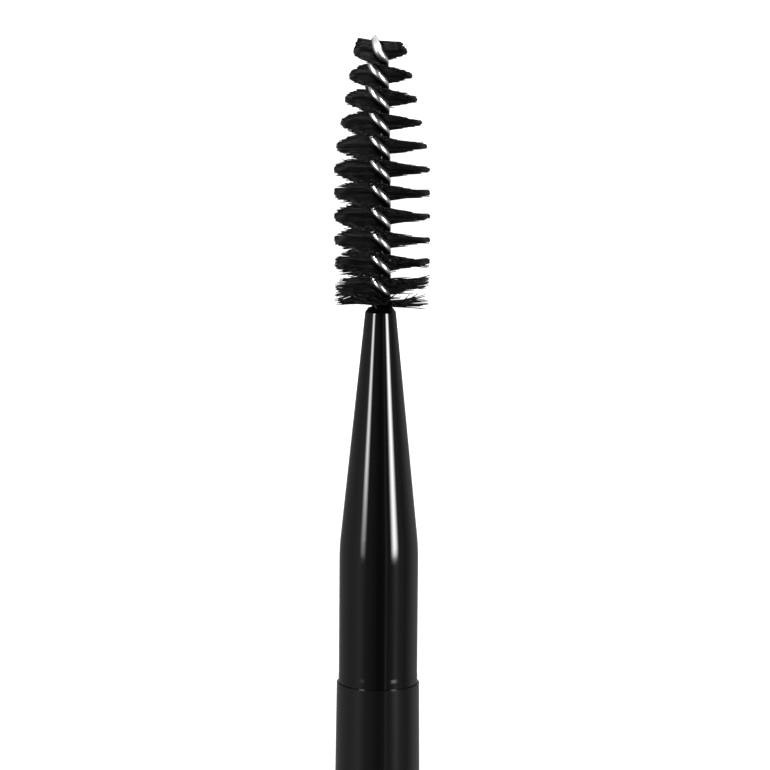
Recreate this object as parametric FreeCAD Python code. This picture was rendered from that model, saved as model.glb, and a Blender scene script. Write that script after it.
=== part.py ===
"""Eyebrow brush with a spiral head of black filaments.

Five pieces: two wire strands twisted together, the filaments clamped between them, a slim
metal ferrule that tapers to hold the wires, and a turned wooden handle whose stepped tenon
fills the ferrule and takes the lower end of the wires in its pilot hole.

Each piece is drawn standing on its tail, with the seam between handle and ferrule at height 0
and the tip up. It is then laid on its side, as the brush lies on a table, resting on its
filaments. The origin is on the table, under the middle of the length, and the tip points
along +X. All sizes are in millimetres.
"""
import FreeCAD, Part
import math
import os
from FreeCAD import Vector

# Wires
wire_radius = 0.37
wire_gap = 0.42             # space between the two strands, where the filaments are clamped
twist_pitch = 3.9           # rise of one full left-handed turn
twist_start = 62.0          # direction of the first strand at height 0, in degrees
wire_tip = 0.5              # how far the sheared wires stand out above the filaments
nipped_angle = 50.0         # slope of the two cut faces that meet in a ridge at the wires' tip
slack_length = 1.3          # stretch below the tip where the twist slackens
slack_share = 0.85          # part of the twist that is lost there in the end
slack_ease = 0.25           # how gently the slackening starts
strand_sides = 8            # facets round a strand
rings_per_turn = 10         # rings of facets along one turn of a strand

# Filaments
head_length = 21.8
head_radius = 4.0           # where the head is trimmed to a cylinder
head_tip_radius = 1.95      # at the narrow end of the trimmed taper
head_taper = 9.9            # length of the taper
courses_per_turn = 20       # layers of filaments laid in one turn of the wires
tufts_per_course = 3        # tufts that each layer opens into, on each side
tuft_width = 0.6
nip_clearance = 0.05        # between the filaments and each strand that clamps them

# Ferrule
barrel_radius = 3.31
barrel_length = 11.6
shoulder_round = 20.0       # radius of the soft bend from barrel to cone
cone_length = 19.9
mouth_radius = 1.285        # outside, at the narrow end of the cone
lip_height = 0.35
lip_inset = 0.22            # how far the bevelled lip comes in from the mouth radius
ferrule_wall = 0.35
spigot_bore_radius = 1.50   # of the ferrule's second, narrower bore
spigot_bore_top = 25.0      # height where the second bore ends and the wires' bore starts
hem_height = 0.58           # of the slightly wider hem over the handle's shoulder
hem_swell = 0.03
hem_flank = 0.31            # height of the small cone from hem to barrel
neck_gap = 0.3              # wire left bare between the ferrule's lip and the filaments
wire_clearance = 0.03       # round the twisted wires, in the ferrule's mouth and the pilot hole

# Handle
handle_length = 100.0       # from seam to tail
shoulder_step = 0.14        # how far the handle stands proud of the ferrule's hem
belly_radius = 3.85
belly_depth = 60.0          # distance from the seam down to the widest place
stem_radius = 2.5           # of the straight stretch at the tail
stem_depth = 86.0           # distance from the seam down to where the straight stretch starts
tail_chamfer = 0.6
tenon_clearance = 0.03      # between tenon and ferrule, all round
pilot_depth = 3.0           # of the wires' hole in the top of the tenon

# Worked out from the sizes above
strand_offset = wire_gap / 2 + wire_radius
pair_radius = strand_offset + wire_radius
bore_radius = pair_radius + wire_clearance
cone_slope = (barrel_radius - mouth_radius) / cone_length
ferrule_top = barrel_length + cone_length + lip_height
course_height = twist_pitch / courses_per_turn
courses = round(head_length / course_height)
head_bottom = ferrule_top + neck_gap
head_top = head_bottom + courses * course_height
wire_top = head_top + wire_tip
tenon_top = spigot_bore_top - tenon_clearance
wire_bottom = tenon_top - pilot_depth
hem_radius = barrel_radius + hem_swell
shoulder_radius = hem_radius + shoulder_step


def turn_angle(height):
    """Direction of the first strand at a height, in degrees: left-handed, slack at the tip."""
    over = max(0.0, height - (wire_top - slack_length))
    lost = slack_share * over * over / (over + slack_ease)
    return twist_start - 360 * (height - lost) / twist_pitch


def polar(radius, degrees, height=0.0):
    """A point at a radius and a direction round the axis."""
    angle = math.radians(degrees)
    return Vector(radius * math.cos(angle), radius * math.sin(angle), height)


def line(start, end):
    """A straight edge of a profile, between points given as (radius, height)."""
    return Part.makeLine(Vector(start[0], 0, start[1]), Vector(end[0], 0, end[1]))


def arc(start, middle, end):
    """A round edge of a profile, through three points given as (radius, height)."""
    points = [Vector(p[0], 0, p[1]) for p in (start, middle, end)]
    return Part.Arc(*points).toShape()


def straight_edges(points):
    """The straight edges that join points in a row."""
    return [line(a, b) for a, b in zip(points, points[1:])]


def turned(edges):
    """A solid of revolution from the closed profile that the edges make."""
    profile = Part.Face(Part.Wire(edges))
    return profile.revolve(Vector(0, 0, 0), Vector(0, 0, 1), 360)


def on_bend(turn, start):
    """A point of the ferrule's soft shoulder, where the side has turned inward so far."""
    return (start[0] - shoulder_round * (1 - math.cos(turn)), start[1] + shoulder_round * math.sin(turn))


def make_ferrule():
    """Hem, barrel, soft shoulder, long cone and bevelled lip, bored in three steps from below."""
    turn = math.atan(cone_slope)
    reach = shoulder_round * math.tan(turn / 2)
    bend_start = (barrel_radius, barrel_length - reach)
    bend_middle = on_bend(turn / 2, bend_start)
    bend_end = on_bend(turn, bend_start)
    below = straight_edges([
        (hem_radius, 0),
        (hem_radius, hem_height),
        (barrel_radius, hem_height + hem_flank),
        bend_start,
    ])
    bore = barrel_radius - ferrule_wall
    above = straight_edges([
        bend_end,
        (mouth_radius, barrel_length + cone_length),
        (mouth_radius - lip_inset, ferrule_top),
        (bore_radius, ferrule_top),
        (bore_radius, spigot_bore_top),
        (spigot_bore_radius, spigot_bore_top),
        (spigot_bore_radius, barrel_length),
        (bore, barrel_length),
        (bore, 0),
        (hem_radius, 0),
    ])
    return turned(below + [arc(bend_start, bend_middle, bend_end)] + above)


def make_handle():
    """Stepped tenon with its pilot hole, shoulder, slim belly and straight chamfered tail."""
    tenon_radius = barrel_radius - ferrule_wall - tenon_clearance
    spigot_radius = spigot_bore_radius - tenon_clearance
    step_top = barrel_length - tenon_clearance
    edge_middle = shoulder_step * (1 - math.sqrt(0.5))
    side_top = (shoulder_radius, -shoulder_step)
    belly = (belly_radius, -belly_depth)
    inside_and_tenon = straight_edges([
        (stem_radius, tail_chamfer - handle_length),
        (stem_radius - tail_chamfer, -handle_length),
        (0, -handle_length),
        (0, wire_bottom),
        (bore_radius, wire_bottom),
        (bore_radius, tenon_top),
        (spigot_radius, tenon_top),
        (spigot_radius, step_top),
        (tenon_radius, step_top),
        (tenon_radius, 0),
        (shoulder_radius - shoulder_step, 0),
        (shoulder_radius - edge_middle, -edge_middle),
        side_top,
    ])
    rise = belly_radius - shoulder_radius
    upper_middle = (belly_radius - rise / 4, -(belly_depth + shoulder_step) / 2)
    drop = belly_radius - stem_radius
    halfway = (belly_radius - drop / 2, -(belly_depth + stem_depth) / 2)
    quarter = (stem_depth - belly_depth) / 4
    stem_start = (stem_radius, -stem_depth)
    side = [
        arc(side_top, upper_middle, belly),
        arc(belly, (belly_radius - drop / 8, -belly_depth - quarter), halfway),
        arc(halfway, (stem_radius + drop / 8, quarter - stem_depth), stem_start),
        line(stem_start, (stem_radius, tail_chamfer - handle_length)),
    ]
    return turned(inside_and_tenon + side)


def strand_centre(height, side_angle):
    """The middle of a strand at a height."""
    return polar(strand_offset, turn_angle(height) + side_angle, height)


def strand_ring(height, side_angle):
    """The corners of one ring of a strand, square to the strand's own direction."""
    nearby = wire_radius / 10
    centre = strand_centre(height, side_angle)
    outward = polar(1, turn_angle(height) + side_angle)
    along = strand_centre(height + nearby, side_angle) - strand_centre(height - nearby, side_angle)
    across = outward.cross(along.normalize())
    step = 2 * math.pi / strand_sides
    reach = wire_radius * math.sqrt(step / math.sin(step))
    turns = [i * step for i in range(strand_sides)]
    return [centre + outward * (reach * math.cos(t)) + across * (reach * math.sin(t)) for t in turns]


def flat_face(corners):
    """A flat face with straight sides."""
    return Part.Face(Part.makePolygon(corners + corners[:1]))


def make_strand(side_angle):
    """One wire strand, from the bottom of the pilot hole to the nipped ridge at the tip."""
    overrun = 2 * wire_radius
    low = wire_bottom - overrun
    high = wire_top + overrun
    count = round((high - low) / twist_pitch * rings_per_turn)
    rings = [strand_ring(low + (high - low) * i / count, side_angle) for i in range(count + 1)]
    faces = [flat_face(rings[0]), flat_face(rings[-1])]
    for ring, following in zip(rings, rings[1:]):
        for i in range(strand_sides):
            j = (i + 1) % strand_sides
            faces.append(flat_face([ring[i], ring[j], following[i]]))
            faces.append(flat_face([ring[j], following[j], following[i]]))
    shell = Part.makeShell(faces)
    shell.sewShape()
    strand = Part.makeSolid(shell)
    if strand.Volume < 0:
        strand.reverse()
    block = 4 * head_radius
    below = Part.makeBox(block, block, block, Vector(-block / 2, -block / 2, wire_bottom - block))
    strand = strand.cut(below)
    ridge = Vector(0, strand_centre(wire_top, 0).y, wire_top)
    for slope in (nipped_angle, -nipped_angle):
        above = Part.makeBox(block, block, block, Vector(-block / 2, -block / 2, wire_top))
        above.rotate(ridge, Vector(1, 0, 0), slope)
        strand = strand.cut(above)
    return strand


def trimmed_radius(height):
    """How far the filaments reach at a height: a cylinder below, a taper towards the tip."""
    slope = (head_radius - head_tip_radius) / head_taper
    return min(head_radius, head_tip_radius + slope * (head_top - height))


def fan_corners(reach):
    """Half of one layer's outline: from the nip between the strands out into its tufts."""
    tuft_step = 360 / courses_per_turn
    notch = tuft_width / 2 / math.sin(math.radians(tuft_step / 2))
    half_tuft = math.degrees(math.asin(tuft_width / 2 / reach))
    nip = wire_gap / 2 - nip_clearance
    first = -tuft_step * (tufts_per_course - 1) / 2
    corners = [Vector(wire_radius, -nip, 0), polar(notch, first - tuft_step / 2)]
    for i in range(tufts_per_course):
        direction = first + i * tuft_step
        corners.append(polar(reach, direction - half_tuft))
        corners.append(polar(reach, direction + half_tuft))
        corners.append(polar(notch, direction + tuft_step / 2))
    return corners + [Vector(wire_radius, nip, 0)]


def make_bristles():
    """Layer upon layer of filaments, each clamped across the wires and turned with them."""
    layers = []
    for i in range(courses):
        height = head_bottom + i * course_height
        middle = height + course_height / 2
        half = fan_corners(trimmed_radius(middle))
        corners = half + [Vector(-p.x, -p.y, 0) for p in half]
        layer = flat_face(corners).extrude(Vector(0, 0, course_height))
        layer.rotate(Vector(0, 0, 0), Vector(0, 0, 1), turn_angle(middle) + 90)
        layer.translate(Vector(0, 0, height))
        layers.append(layer)
    return layers[0].multiFuse(layers[1:]).removeSplitter()


def laid_down(shape):
    """The piece turned from standing on its tail to lying on the table, tip along +X."""
    shape.rotate(Vector(0, 0, 0), Vector(0, 1, 0), 90)
    shape.translate(Vector((handle_length - wire_top) / 2, 0, head_radius))
    return shape


pieces = {
    "handle": make_handle(),
    "ferrule": make_ferrule(),
    "wire_strand_a": make_strand(0),
    "wire_strand_b": make_strand(180),
    "bristles": make_bristles(),
}
os.makedirs("parts", exist_ok=True)
for name, piece in pieces.items():
    laid_down(piece).exportStep("parts/" + name + ".step")
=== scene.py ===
import math
import random

import bpy
from mathutils import Matrix, Vector


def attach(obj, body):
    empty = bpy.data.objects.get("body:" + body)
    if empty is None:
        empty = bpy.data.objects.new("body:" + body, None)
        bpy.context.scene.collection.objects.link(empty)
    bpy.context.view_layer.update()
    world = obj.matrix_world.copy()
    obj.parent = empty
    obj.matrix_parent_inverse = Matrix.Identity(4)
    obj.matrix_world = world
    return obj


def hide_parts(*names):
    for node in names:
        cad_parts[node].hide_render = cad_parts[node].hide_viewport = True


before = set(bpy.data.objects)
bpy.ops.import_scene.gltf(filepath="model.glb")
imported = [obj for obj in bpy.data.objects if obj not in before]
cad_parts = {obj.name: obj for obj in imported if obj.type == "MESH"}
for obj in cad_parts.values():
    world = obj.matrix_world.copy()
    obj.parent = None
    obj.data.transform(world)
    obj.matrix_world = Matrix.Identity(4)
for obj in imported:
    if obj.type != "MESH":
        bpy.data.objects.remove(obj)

bpy.context.view_layer.update()

# Sizes of the brush in millimetres, drawn standing: heights count from the seam between handle
# and ferrule, up towards the tip, and depths from the seam down to the tail.
AXIS_HEIGHT = 4.0           # of the brush's axis above the table that it lies on
SEAM_X = 22.755             # where the seam lies along the table

# Handle: tail, straight stem, flare, slim belly, stepped tenon
TAIL_DEPTH = 100.0
TAIL_RADIUS = 1.9           # of the flat end, inside its bevel
TAIL_BEVEL = 99.4           # depth at which the bevel reaches the stem
STEM_RADIUS = 2.5
STEM_START = 97.0
FLARE_START = 86            # depths at which the stem widens into the belly
FLARE_MIDDLE = 73
BELLY_MIDDLE = 60           # depth at which the handle is thickest
BELLY_RADIUS = 3.85
BELLY_SLIMMING = 0.37       # how much thinner the belly is by SLIMMED_DEPTH above its middle
SLIMMED_DEPTH = 59.86
SEAM_RADIUS = 3.481         # of the handle's sharp edge at the seam
TENON_RADIUS = 2.93
TENON_TOP = 11.57
SPIGOT_RADIUS = 1.47
SPIGOT_TOP = 24.97

# Ferrule: hem, barrel, long cone, bevelled lip, bores
HEM_RADIUS = 3.327
HEM_TOP = 0.58
BARREL_RADIUS = 3.31
BARREL_START = 0.89
BARREL_TOP = 11.6
MOUTH_RADIUS = 1.285
LIP_BOTTOM = 31.5
LIP_RADIUS = 1.03
MOUTH_HEIGHT = 31.85        # where the wires leave the ferrule
TENON_BORE = 2.96
SPIGOT_BORE = 1.50
SPIGOT_BORE_TOP = 25.0
WIRE_BORE = 0.98
TURNED_SIDES = 128

# Wires
WIRE_RADIUS = 0.36
STRAND_OFFSET = 0.52        # from the axis to the middle of each strand
TWIST_PITCH = 3.9
TWIST_START = 43.0          # direction of the first strand at height 0, in degrees
SLACK_FROM = 52.95          # height from which the twist is slack, up to the tip
SLACK_SHARE = 0.85          # part of the twist that is lost there in the end
SLACK_EASE = 0.25           # how gently the slackening starts
WIRE_BOTTOM = 21.97
WIRE_TOP = 54.49
NIPPED_ANGLE = 60.0         # slope of the two cut faces that meet in a ridge at the tip
RIDGE_BLUNT = 0.05          # half the width that the ridge is blunt
RIDGE_ASIDE = 0.03          # how far the ridge stands beside the first strand's middle
RIDGE_BELOW = 0.01          # and how far below the wire's full height
LEAN = 0.38                 # how far the wires' tip is bent aside from the ferrule's axis
WIRES_ASIDE = 0.03          # how far the wires lie beside the middle of the head
STRAND_STEPS = 420
STRAND_SIDES = 28

# Head of filaments
HEAD_BOTTOM = 31.97
HEAD_TOP = 53.99
HEAD_RADIUS = 4.0
HEAD_TIP_RADIUS = 2.08
HEAD_TAPER = 9.9            # length below the tip over which the trimmed head tapers
TRIM_ASIDE = 0.10           # how far the head was trimmed off the wires' middle
FAN_START = 42.0            # direction of the first fan at height 0, in degrees
FAN_SLACK_FROM = 53.19      # height from which the fans' turn is slack
NIP_PIVOT = 0.42            # from the axis to where a filament leaves the wires and can fan out
NIP_WIDTH = 0.105           # how far beside the axis a filament may be clamped
FILAMENTS = 2600
FILAMENT_RADIUS = 0.045
FILAMENT_END = 0.7          # how much of its thickness a filament has at its trimmed end
FILAMENT_SIDES = 5
EDGE_ROOM = 0.04            # between the head's ends and the filaments nearest to them
TABLE_GAP = 0.000004        # metres between the table and the filaments that rest on it

# How loosely the filaments lie: shares of the head's height, counted from its bottom
SKIRT_TO = 0.018            # most filaments below this spread all round the ferrule's mouth
STRAY_TO = 0.03             # of the others, some below this stick up
HANGING_TO = 0.12           # some between the strays and this hang down
RAGGED_TO = 0.21            # below this the filaments get more and more ragged
RAGGED_EASE = 0.12          # until, this much lower, they are fully so
LIFTED_FROM = 0.95          # above this one side's filaments lift towards the tip


def on_table(x, y, height):
    """A point drawn standing, moved to where it lies on the table, in metres."""
    return ((SEAM_X + height) / 1000, y / 1000, (AXIS_HEIGHT - x) / 1000)


def turn_angle(height, start, slack_from):
    """Direction of the left-handed twist at a height, in radians; it slackens towards the tip."""
    over = max(0.0, height - slack_from)
    slack = SLACK_SHARE * over * over / (over + SLACK_EASE)
    return math.radians(start - 360 * (height - slack) / TWIST_PITCH)


def aside(height):
    """How far the slightly bent wires stand beside the ferrule's axis at a height."""
    share = max(0.0, (height - MOUTH_HEIGHT) / (WIRE_TOP - MOUTH_HEIGHT))
    return LEAN * share * share


def trimmed_radius(height):
    """How far the filaments reach at a height."""
    slope = (HEAD_RADIUS - HEAD_TIP_RADIUS) / HEAD_TAPER
    return min(HEAD_RADIUS, HEAD_TIP_RADIUS + slope * (HEAD_TOP - height))


# Pieces made from points


def add_piece(name, points, faces, material, node):
    """A piece made from points and faces, shaded smooth, riding on the brush's one body."""
    mesh = bpy.data.meshes.new(name)
    mesh.from_pydata(points, [], faces)
    mesh.shade_smooth()
    mesh.materials.append(material)
    piece = bpy.data.objects.new(name, mesh)
    bpy.context.collection.objects.link(piece)
    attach(piece, "root")
    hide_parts(node)
    return piece


def point_values(piece, name, values):
    """A value for each point of a piece, which its material reads by name."""
    attribute = piece.data.attributes.new(name, "FLOAT", "POINT")
    attribute.data.foreach_set("value", values)


def add_support(profile, end):
    """Two more points on a straight run, close to its ends, which keep its shading straight."""
    shortest, gap = 0.3, 0.05
    run = end - profile[-1]
    if run.length > shortest:
        step = run.normalized() * gap
        profile += [profile[-1] + step, end - step]


def softened(corners):
    """A profile whose corners are rounded: each corner is (radius, height, rounding)."""
    most_of_run = 0.45
    degrees_a_step = 9
    profile = []
    last = len(corners) - 1
    for i, (r, h, rounding) in enumerate(corners):
        here = Vector((r, h))
        if not rounding or i in (0, last):
            if profile:
                add_support(profile, here)
            profile.append(here)
            continue
        before = Vector(corners[i - 1][:2]) - here
        after = Vector(corners[i + 1][:2]) - here
        bend = math.pi - before.angle(after)
        most = most_of_run * min(before.length, after.length)
        reach = min(rounding * math.tan(bend / 2), most)
        start = here + before.normalized() * reach
        end = here + after.normalized() * reach
        steps = max(4, round(math.degrees(bend) / degrees_a_step))
        add_support(profile, start)
        for k in range(steps + 1):
            t = k / steps
            profile.append(start * (1 - t) ** 2 + here * (2 * t * (1 - t)) + end * t ** 2)
    return profile


def turned_piece(name, corners, material, node):
    """A piece turned on a lathe, from a profile that closes on itself or ends on the axis."""
    profile = softened(corners)
    points = []
    faces = []
    rings = []
    for p in profile:
        if p.x == 0:
            rings.append([len(points)])
            points.append(on_table(0, 0, p.y))
            continue
        rings.append(list(range(len(points), len(points) + TURNED_SIDES)))
        for k in range(TURNED_SIDES):
            a = 2 * math.pi * k / TURNED_SIDES
            points.append(on_table(p.x * math.cos(a), p.x * math.sin(a), p.y))
    pairs = list(zip(rings, rings[1:]))
    if profile[0].x != 0:
        pairs.append((rings[-1], rings[0]))
    for low, high in pairs:
        for k in range(TURNED_SIDES):
            m = (k + 1) % TURNED_SIDES
            if len(low) == 1:
                faces.append((low[0], high[m], high[k]))
            elif len(high) == 1:
                faces.append((low[k], low[m], high[0]))
            else:
                faces.append((low[k], low[m], high[m], high[k]))
    piece = add_piece(name, points, faces, material, node)
    piece.data.set_sharp_from_angle(angle=math.radians(32))


def make_ferrule(material):
    """Hem, barrel, soft shoulder, long cone and bevelled lip, with the bores inside."""
    corners = [
        (TENON_BORE, BARREL_TOP, 0),
        (TENON_BORE, 0.0, 0.04),
        (HEM_RADIUS, 0.0, 0.03),
        (HEM_RADIUS, HEM_TOP, 0.30),
        (BARREL_RADIUS, BARREL_START, 0.30),
        (BARREL_RADIUS, BARREL_TOP, 20.0),
        (MOUTH_RADIUS, LIP_BOTTOM, 0.12),
        (LIP_RADIUS, MOUTH_HEIGHT, 0.05),
        (WIRE_BORE, MOUTH_HEIGHT, 0.01),
        (WIRE_BORE, SPIGOT_BORE_TOP, 0),
        (SPIGOT_BORE, SPIGOT_BORE_TOP, 0),
        (SPIGOT_BORE, BARREL_TOP, 0),
    ]
    turned_piece("ferrule_shell", corners, material, "ferrule")


def handle_radius(depth):
    """The handle's radius at a depth between its stem and the seam."""
    half_step = (BELLY_RADIUS - STEM_RADIUS) / 2
    if depth > FLARE_MIDDLE:
        share = (FLARE_START - depth) / (FLARE_START - FLARE_MIDDLE)
        return STEM_RADIUS + half_step * share ** 2
    if depth > BELLY_MIDDLE:
        share = (depth - BELLY_MIDDLE) / (FLARE_MIDDLE - BELLY_MIDDLE)
        return BELLY_RADIUS - half_step * share ** 2
    return BELLY_RADIUS - BELLY_SLIMMING * ((BELLY_MIDDLE - depth) / SLIMMED_DEPTH) ** 2


def make_handle(material):
    """Tail, straight stem, slim belly, shoulder and stepped tenon."""
    corners = [
        (0, -TAIL_DEPTH, 0),
        (TAIL_RADIUS, -TAIL_DEPTH, 0.3),
        (STEM_RADIUS, -TAIL_BEVEL, 0.4),
        (STEM_RADIUS, -STEM_START, 0),
    ]
    depths = list(range(FLARE_START, BELLY_MIDDLE, -1)) + list(range(BELLY_MIDDLE, 0, -2))
    corners += [(handle_radius(depth), -depth, 0) for depth in depths]
    corners += [
        (SEAM_RADIUS, 0.0, 0.003),
        (TENON_RADIUS, 0.0, 0),
        (TENON_RADIUS, TENON_TOP, 0),
        (SPIGOT_RADIUS, TENON_TOP, 0),
        (SPIGOT_RADIUS, SPIGOT_TOP, 0),
        (WIRE_BORE, SPIGOT_TOP, 0),
        (WIRE_BORE, WIRE_BOTTOM, 0),
        (0, WIRE_BOTTOM, 0),
    ]
    turned_piece("handle_turning", corners, material, "handle")


# Wires and filaments


def tube(points, faces, path, radii, sides, up):
    """Adds a round tube along a path of standing points, closed at both ends."""
    base = len(points)
    count = len(path)
    for i in range(count):
        ahead = path[min(i + 1, count - 1)]
        behind = path[max(i - 1, 0)]
        along = (ahead - behind).normalized()
        across = along.cross(up(i)).normalized()
        lift = across.cross(along)
        for k in range(sides):
            a = 2 * math.pi * k / sides
            p = path[i] + (across * math.cos(a) + lift * math.sin(a)) * radii[i]
            points.append(on_table(p.x, p.y, p.z))
    for i in range(count - 1):
        for k in range(sides):
            m = (k + 1) % sides
            low = base + i * sides
            faces.append((low + m, low + k, low + sides + k, low + sides + m))
    faces.append(tuple(base + k for k in range(sides)))
    top = base + (count - 1) * sides
    faces.append(tuple(top + k for k in reversed(range(sides))))


def strand_centre(height, side):
    """The middle of a strand at a height, drawn standing."""
    a = turn_angle(height, TWIST_START, SLACK_FROM) + side
    middle = aside(height) + WIRES_ASIDE
    return Vector((STRAND_OFFSET * math.cos(a), STRAND_OFFSET * math.sin(a) + middle, height))


def make_strand(name, side, material, node):
    """One round wire strand, nipped off at the tip so that two cut faces meet in a ridge."""
    points = []
    faces = []
    uncut = WIRE_TOP + 0.25 - WIRE_BOTTOM
    heights = [WIRE_BOTTOM + uncut * k / STRAND_STEPS for k in range(STRAND_STEPS + 1)]
    path = [strand_centre(height, side) for height in heights]
    middles = [Vector((0, aside(p.z) + WIRES_ASIDE, 0)) for p in path]
    outward = [Vector((p.x, p.y, 0)) - middle for p, middle in zip(path, middles)]
    tube(points, faces, path, [WIRE_RADIUS] * len(path), STRAND_SIDES, lambda i: outward[i])
    slope = math.tan(math.radians(NIPPED_ANGLE))
    ridge = strand_centre(WIRE_TOP, 0).y + RIDGE_ASIDE
    for i, (x, y, z) in enumerate(points):
        from_ridge = max(0.0, abs(y * 1000 - ridge) - RIDGE_BLUNT)
        cut = WIRE_TOP - RIDGE_BELOW - from_ridge * slope
        height = min(max(x * 1000 - SEAM_X, WIRE_BOTTOM), cut)
        points[i] = ((SEAM_X + height) / 1000, y, z)
    piece = add_piece(name, points, faces, material, node)
    piece.data.set_sharp_from_angle(angle=math.radians(50))
    # How much each point of the round wire faces the tip, from 1 down to -1 at the handle's side;
    # the material darkens the handle's side with it, as painted shade.
    tip_side = [math.cos(2 * math.pi * k / STRAND_SIDES) for k in range(STRAND_SIDES)]
    point_values(piece, "tip_side", tip_side * len(path))


def filament_side(direction, nip, spread, slope, bow, height, shortened):
    """Points of one half of a filament, from the nip between the wires to its trimmed end."""
    c, s = math.cos(direction), math.sin(direction)
    middle = aside(height)
    trim_middle = 0.8 * middle - TRIM_ASIDE
    radius = trimmed_radius(height)
    out_c, out_s = math.cos(direction + spread), math.sin(direction + spread)
    start = Vector((NIP_PIVOT * c - nip * s, NIP_PIVOT * s + nip * c + middle))
    toward = start.x * out_c + (start.y - trim_middle) * out_s
    apart = start.x ** 2 + (start.y - trim_middle) ** 2
    reach = math.sqrt(max(radius ** 2 - apart + toward ** 2, 0.01)) - toward - shortened
    side = []
    for share, turned in ((0.0, 0.0), (0.3, 0.5), (0.65, 0.85), (1.0, 1.0)):
        run = reach * share
        bend = bow * run * (run - reach)
        heading = direction + spread * turned
        x = start.x + run * math.cos(heading) - bend * out_s
        y = start.y + run * math.sin(heading) + bend * out_c
        side.append(Vector((x, y, height + slope * run)))
    return side


def loose_half(rng, tuft, s, u, height, nip):
    """One half of a filament, laid with chance: s is its side, u its share of the head's height.

    widest and scatter say how far it may turn aside from its fan, and tilt how far it lifts
    towards the tip, in degrees.
    """
    ragged = min(1.0, max(0.0, (RAGGED_TO - u) / RAGGED_EASE))
    widest = 22.0 - 8.0 * u
    scatter = tuft[s][0] * 3 + rng.gauss(0, 9 - 4 * u)
    skirt = u < SKIRT_TO and rng.random() < 0.8
    if skirt:
        widest, scatter = 95, rng.gauss(20, 50)
    spread = math.radians(max(-widest, min(widest, scatter)))
    tilt = tuft[s][1] * (0.35 + 2.2 * ragged) + rng.gauss(0, 0.8 + 2.2 * ragged)
    if u < STRAY_TO and not skirt and rng.random() < 0.2:
        tilt += rng.uniform(10, 26)
    if u > LIFTED_FROM and s == 1:
        tilt += 120 * (u - LIFTED_FROM)
    direction = turn_angle(height, FAN_START, FAN_SLACK_FROM) + math.pi / 2 + s * math.pi
    tilt += ragged * (2.0 - 3.5 * math.sin(direction))
    hanging = STRAY_TO < u < HANGING_TO and math.sin(direction) > 0.3 and rng.random() < 0.35
    if hanging:
        tilt -= rng.uniform(4, 15)
    # No filament reaches below the head's trimmed bottom.
    lowest = math.degrees(math.atan2(HEAD_BOTTOM - height, HEAD_RADIUS)) + rng.uniform(0, 3)
    if skirt or hanging:
        lowest += max(0.0, -9 * math.cos(direction + spread))
    slope = math.tan(math.radians(max(tilt, lowest)))
    bow = rng.gauss(0, 0.008 + 0.01 * ragged)
    shortened = abs(rng.gauss(0, 0.06 + 0.2 * ragged))
    lateral = nip if s == 0 else -nip
    return filament_side(direction, lateral, spread, slope, bow, height, shortened)


def make_filaments(material):
    """Filaments laid across the twisting wires and clamped there, fanned out and trimmed."""
    rng = random.Random(11)
    points = []
    faces = []
    tones = []
    tuft_left = 0
    for i in range(FILAMENTS):
        u = (i + 0.5) / FILAMENTS
        height = HEAD_BOTTOM + EDGE_ROOM + u * (HEAD_TOP - HEAD_BOTTOM - 2 * EDGE_ROOM)
        if tuft_left == 0:
            tuft_left = rng.choice((3, 4, 5, 6, 8))
            tuft = [(rng.gauss(0, 1.0), rng.gauss(0, 1.0)) for s in (0, 1)]
        tuft_left -= 1
        nip = rng.uniform(-NIP_WIDTH, NIP_WIDTH)
        halves = [loose_half(rng, tuft, s, u, height, nip) for s in (0, 1)]
        path = list(reversed(halves[0])) + halves[1]
        radii = [FILAMENT_RADIUS] * len(path)
        radii[0] = radii[-1] = FILAMENT_RADIUS * FILAMENT_END
        before = len(points)
        tube(points, faces, path, radii, FILAMENT_SIDES, lambda k: Vector((0, 0, 1)))
        tones += [rng.random()] * (len(points) - before)
    points = [(x, y, max(z, TABLE_GAP)) for x, y, z in points]
    piece = add_piece("filaments", points, faces, material, "bristles")
    point_values(piece, "filament_tone", tones)


# Materials


def new_material(name):
    """A material with its nodes, links and shader, ready for its own numbers."""
    material = bpy.data.materials.new(name)
    material.use_nodes = True
    nodes = material.node_tree.nodes
    return material, nodes, material.node_tree.links, nodes["Principled BSDF"]


def combined(nodes, links, operation, first, second):
    """One value worked out from two others."""
    node = nodes.new("ShaderNodeMath")
    node.operation = operation
    links.new(first, node.inputs[0])
    links.new(second, node.inputs[1])
    return node.outputs["Value"]


def stretched(nodes, links, value, low, high, at_low=0.0, at_high=1.0):
    """A value that runs from at_low to at_high while its source runs from low to high."""
    node = nodes.new("ShaderNodeMapRange")
    node.inputs["From Min"].default_value = low
    node.inputs["From Max"].default_value = high
    node.inputs["To Min"].default_value = at_low
    node.inputs["To Max"].default_value = at_high
    links.new(value, node.inputs["Value"])
    return node.outputs["Result"]


def share_of_height(nodes, links, place, low, high, at_low, at_high):
    """A value that changes between two heights of the brush, counted from its seam."""
    split = nodes.new("ShaderNodeSeparateXYZ")
    links.new(place, split.inputs["Vector"])
    low_x, high_x = (SEAM_X + low) / 1000, (SEAM_X + high) / 1000
    return stretched(nodes, links, split.outputs["X"], low_x, high_x, at_low, at_high)


def grey_ramp(nodes, links, value, dark, light):
    """A colour that runs from dark to light as a value runs from 0 to 1."""
    ramp = nodes.new("ShaderNodeValToRGB")
    ramp.color_ramp.elements[0].color = (*dark, 1)
    ramp.color_ramp.elements[1].color = (*light, 1)
    links.new(value, ramp.inputs["Fac"])
    return ramp.outputs["Color"]


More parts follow.
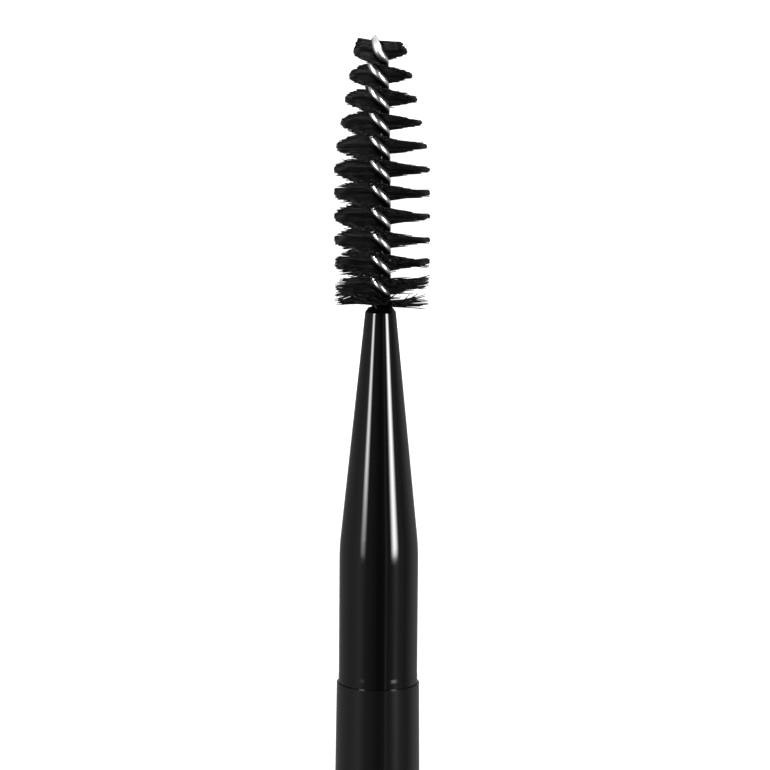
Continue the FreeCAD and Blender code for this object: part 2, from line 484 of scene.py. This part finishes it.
def fine_unevenness():
    """A group that gives a low, slow waviness, as sprayed lacquer has: scale in, height out."""
    group = bpy.data.node_groups.new("fine_unevenness", "ShaderNodeTree")
    group.interface.new_socket("Scale", in_out="INPUT", socket_type="NodeSocketFloat")
    group.interface.new_socket("Height", in_out="OUTPUT", socket_type="NodeSocketFloat")
    entry = group.nodes.new("NodeGroupInput")
    leave = group.nodes.new("NodeGroupOutput")
    place = group.nodes.new("ShaderNodeTexCoord")
    noise = group.nodes.new("ShaderNodeTexNoise")
    noise.inputs["Detail"].default_value = 2
    group.links.new(place.outputs["Object"], noise.inputs["Vector"])
    group.links.new(entry.outputs["Scale"], noise.inputs["Scale"])
    group.links.new(noise.outputs["Fac"], leave.inputs["Height"])
    return group


def lacquer(name, group, colour, roughness, wave_scale, wave_height):
    """Black sprayed lacquer with a faint waviness in its reflections."""
    material, nodes, links, shader = new_material(name)
    shader.inputs["Base Color"].default_value = (*colour, 1)
    shader.inputs["Roughness"].default_value = roughness
    shader.inputs["IOR"].default_value = 1.5
    wave = nodes.new("ShaderNodeGroup")
    wave.node_tree = group
    wave.inputs["Scale"].default_value = wave_scale
    bump = nodes.new("ShaderNodeBump")
    bump.inputs["Strength"].default_value = 1.0
    bump.inputs["Distance"].default_value = wave_height
    links.new(wave.outputs["Height"], bump.inputs["Height"])
    links.new(bump.outputs["Normal"], shader.inputs["Normal"])
    return material


def wire_steel():
    """Bright drawn steel wire, streaked, black with glue at the ferrule, with painted shade where
    filaments cover it.

    It is black with glue at the ferrule's mouth and fades to bright between 32.9 and 34.1 mm;
    it has painted shade on the flank that the filaments are packed against, up to where the
    wires come out bare at the tip, and is duller and greyer where they were nipped.
    """
    material, nodes, links, shader = new_material("bright_wire")
    shader.inputs["Metallic"].default_value = 1.0
    place = nodes.new("ShaderNodeTexCoord").outputs["Object"]
    noise = nodes.new("ShaderNodeTexNoise")
    noise.inputs["Scale"].default_value = 5000
    noise.inputs["Detail"].default_value = 3
    links.new(place, noise.inputs["Vector"])
    streaks = stretched(nodes, links, noise.outputs["Fac"], 0.0, 1.0, 0.26, 0.38)
    dull_tip = share_of_height(nodes, links, place, 52.9, 53.8, 0.0, 0.32)
    links.new(combined(nodes, links, "ADD", streaks, dull_tip), shader.inputs["Roughness"])
    # Painted shade: the wire's colour is darkened on its flank towards the handle, where the
    # filaments pack against it, up to the bare tip.
    around = nodes.new("ShaderNodeAttribute")
    around.attribute_name = "tip_side"
    painted_flank_shade = stretched(nodes, links, around.outputs["Fac"], -0.72, -0.12, 0.03, 1.0)
    bare = share_of_height(nodes, links, place, 52.2, 52.9, 0.0, 1.0)
    unshaded = combined(nodes, links, "MAXIMUM", painted_flank_shade, bare)
    # Black with glue at the ferrule's mouth, then fading to the wire's own colour between 32.9
    # and 34.1 mm.
    away_from_mouth = share_of_height(nodes, links, place, 32.9, 34.1, 0.0, 1.0)
    level = combined(nodes, links, "MULTIPLY", away_from_mouth, unshaded)
    grey_tip = share_of_height(nodes, links, place, 53.2, 54.0, 1.0, 0.42)
    toned = combined(nodes, links, "MULTIPLY", level, grey_tip)
    colour = grey_ramp(nodes, links, toned, (0.01, 0.01, 0.01), (0.92, 0.92, 0.92))
    links.new(colour, shader.inputs["Base Color"])
    return material


def nylon():
    """Black nylon filament, each one a slightly different black."""
    material, nodes, links, shader = new_material("black_nylon")
    shader.inputs["Roughness"].default_value = 0.42
    shader.inputs["Specular IOR Level"].default_value = 0.16
    tone = nodes.new("ShaderNodeAttribute")
    tone.attribute_name = "filament_tone"
    deepest, palest = (0.0010, 0.0010, 0.0011), (0.0048, 0.0046, 0.0048)
    colour = grey_ramp(nodes, links, tone.outputs["Fac"], deepest, palest)
    links.new(colour, shader.inputs["Base Color"])
    return material


def floor_white():
    """A plain white table that glows a little, as a light table does."""
    material, _, _, shader = new_material("white_table")
    shader.inputs["Base Color"].default_value = (0.3, 0.3, 0.3, 1)
    shader.inputs["Roughness"].default_value = 0.9
    shader.inputs["Emission Color"].default_value = (1, 1, 1, 1)
    shader.inputs["Emission Strength"].default_value = 0.95
    return material


uneven = fine_unevenness()
gloss_black = lacquer("gloss_black_lacquer", uneven, (0.0014, 0.0014, 0.0016), 0.06, 350, 8e-7)
satin_black = lacquer("satin_black_lacquer", uneven, (0.0026, 0.0026, 0.0028), 0.12, 500, 1.2e-6)
steel = wire_steel()
black_nylon = nylon()

make_ferrule(gloss_black)
make_handle(satin_black)
make_strand("wire_leg_a", 0, steel, "wire_strand_a")
make_strand("wire_leg_b", math.pi, steel, "wire_strand_b")
make_filaments(black_nylon)

# Table: the lacquer doesn't mirror it, so that the room alone sets what is seen in the gloss.
bpy.ops.mesh.primitive_plane_add(size=8)
table = bpy.context.object
table.name = "table"
table.data.materials.append(floor_white())
table.visible_glossy = False


# Lights


def falloff(nodes, links, value, steps, interpolation):
    """A ramp from a coordinate of the light to its brightness there."""
    ramp = nodes.new("ShaderNodeValToRGB")
    ramp.color_ramp.interpolation = interpolation
    while len(ramp.color_ramp.elements) < len(steps):
        ramp.color_ramp.elements.new(0.5)
    for element, (place, level) in zip(ramp.color_ramp.elements, steps):
        element.position = place
        element.color = (level, level, level, 1)
    links.new(value, ramp.inputs["Fac"])
    return ramp.outputs["Color"]


def strip_light(name, azimuth, width_deg, brightness, along_steps):
    """A long soft box beside the camera, turned to the brush: azimuth is counted from above.

    It is brightest along its middle line and fades out to both long edges. Along its length it
    fades as the steps say, each given as (place along the brush's length in metres, level).
    """
    x_low, x_high = -0.10, 0.70
    distance = 0.6
    a = math.radians(azimuth)
    away = Vector((0, -math.sin(a), math.cos(a)))
    length = x_high - x_low
    width = 2 * distance * math.tan(math.radians(width_deg / 2))
    data = bpy.data.lights.new(name, "AREA")
    data.shape = "RECTANGLE"
    data.size = width
    data.size_y = length
    data.energy = brightness * math.pi * width * length
    data.use_nodes = True
    nodes = data.node_tree.nodes
    links = data.node_tree.links
    place = nodes.new("ShaderNodeNewGeometry")
    split = nodes.new("ShaderNodeSeparateXYZ")
    links.new(place.outputs["Parametric"], split.inputs["Vector"])
    across = falloff(nodes, links, split.outputs["X"], ((0, 0), (0.5, 1), (1, 0)), "EASE")
    steps = [((x - x_low) / length, level) for x, level in along_steps]
    along = falloff(nodes, links, split.outputs["Y"], steps, "LINEAR")
    level = combined(nodes, links, "MULTIPLY", across, along)
    links.new(level, nodes["Emission"].inputs["Strength"])
    light = bpy.data.objects.new(name, data)
    bpy.context.collection.objects.link(light)
    lengthwise = Vector((1, 0, 0))
    turn = Matrix((lengthwise.cross(away), lengthwise, away)).transposed().to_4x4()
    middle = Vector(((x_low + x_high) / 2, 0, AXIS_HEIGHT / 1000)) + away * distance
    light.matrix_world = Matrix.Translation(middle) @ turn
    light.visible_camera = False


right_fade = ((-0.08, 0), (-0.06, 0.12), (-0.033, 0.60), (-0.006, 0.85), (0.03, 0.92), (0.06, 1))
left_fade = (
    (-0.08, 0), (-0.058, 0.018), (-0.03, 0.097), (0.0255, 0.146), (0.033, 0.218),
    (0.040, 0.40), (0.047, 0.497), (0.075, 0.606), (0.086, 0.62), (0.11, 1),
)
strip_light("right_strip", 47.5, 28, 26, right_fade)
strip_light("left_strip", -47.5, 23, 31.35, left_fade)

# The room round the brush: the level it is seen at in each direction round the brush's length,
# counted in degrees from above, positive to the right of the camera.
room = (
    (-180, 0.30), (-150, 0.23), (-106, 0.26), (-85, 0.26), (-70, 0.33), (-56, 0.43),
    (-37, 0.15), (-20, 0.10), (0, 0.0), (17, 0.03), (22, 0.30), (27, 0.08), (40, 0.16),
    (52, 0.48), (64, 0.25), (85, 0.13), (118, 0.36), (150, 0.26), (180, 0.30),
)


def light_room():
    """The room's soft light. It fades out towards the handle's end, where the far wall is lit."""
    world = bpy.data.worlds.new("studio")
    bpy.context.scene.world = world
    world.use_nodes = True
    nodes = world.node_tree.nodes
    links = world.node_tree.links
    direction = nodes.new("ShaderNodeTexCoord")
    split = nodes.new("ShaderNodeSeparateXYZ")
    links.new(direction.outputs["Generated"], split.inputs["Vector"])
    lengthwise = split.outputs["X"]
    angle = combined(nodes, links, "ARCTAN2", split.outputs["Y"], split.outputs["Z"])
    share = stretched(nodes, links, angle, math.pi, -math.pi)
    levels = [((azimuth + 180) / 360, level) for azimuth, level in room]
    sky = falloff(nodes, links, share, levels, "LINEAR")
    links.new(sky, nodes["Background"].inputs["Color"])
    near = stretched(nodes, links, lengthwise, -0.50, -0.32)
    wall = stretched(nodes, links, lengthwise, -0.78, -0.92)
    strength = combined(nodes, links, "MAXIMUM", near, wall)
    links.new(strength, nodes["Background"].inputs["Strength"])


light_room()

# Camera: it looks down on the lying brush with the tip at the picture's top, leaning 9 degrees
# towards the tip, and stands a little to the right, turned by less than half a degree.
LOOKED_AT_X = 0.0481
DISTANCE = 0.300
FOCAL_PIXELS = 3600         # so that the brush comes out at 12 px to the millimetre
IMAGE_WIDTH = 770
SENSOR_WIDTH = 36
PIXELS_ASIDE = 4.95
camera_lean = math.radians(9)
roll = math.radians(0.42)
back = Vector((math.sin(camera_lean), 0, math.cos(camera_lean)))
upward = Vector((math.cos(camera_lean), 0, -math.sin(camera_lean)))
rightward = upward.cross(back)
up = upward * math.cos(roll) - rightward * math.sin(roll)
right = upward * math.sin(roll) + rightward * math.cos(roll)
camera_data = bpy.data.cameras.new("camera")
camera_data.sensor_width = SENSOR_WIDTH
camera_data.lens = SENSOR_WIDTH * FOCAL_PIXELS / IMAGE_WIDTH
camera_data.clip_start = 0.01
camera_data.clip_end = 20
camera = bpy.data.objects.new("camera", camera_data)
bpy.context.collection.objects.link(camera)
looked_at = Vector((LOOKED_AT_X, 0, AXIS_HEIGHT / 1000))
stand = looked_at + back * DISTANCE + right * (DISTANCE * PIXELS_ASIDE / FOCAL_PIXELS)
camera.matrix_world = Matrix.Translation(stand) @ Matrix((right, up, back)).transposed().to_4x4()
bpy.context.scene.camera = camera
bpy.context.scene.view_settings.view_transform = "Standard"
bpy.context.scene.view_settings.look = "None"

bpy.context.view_layer.update()
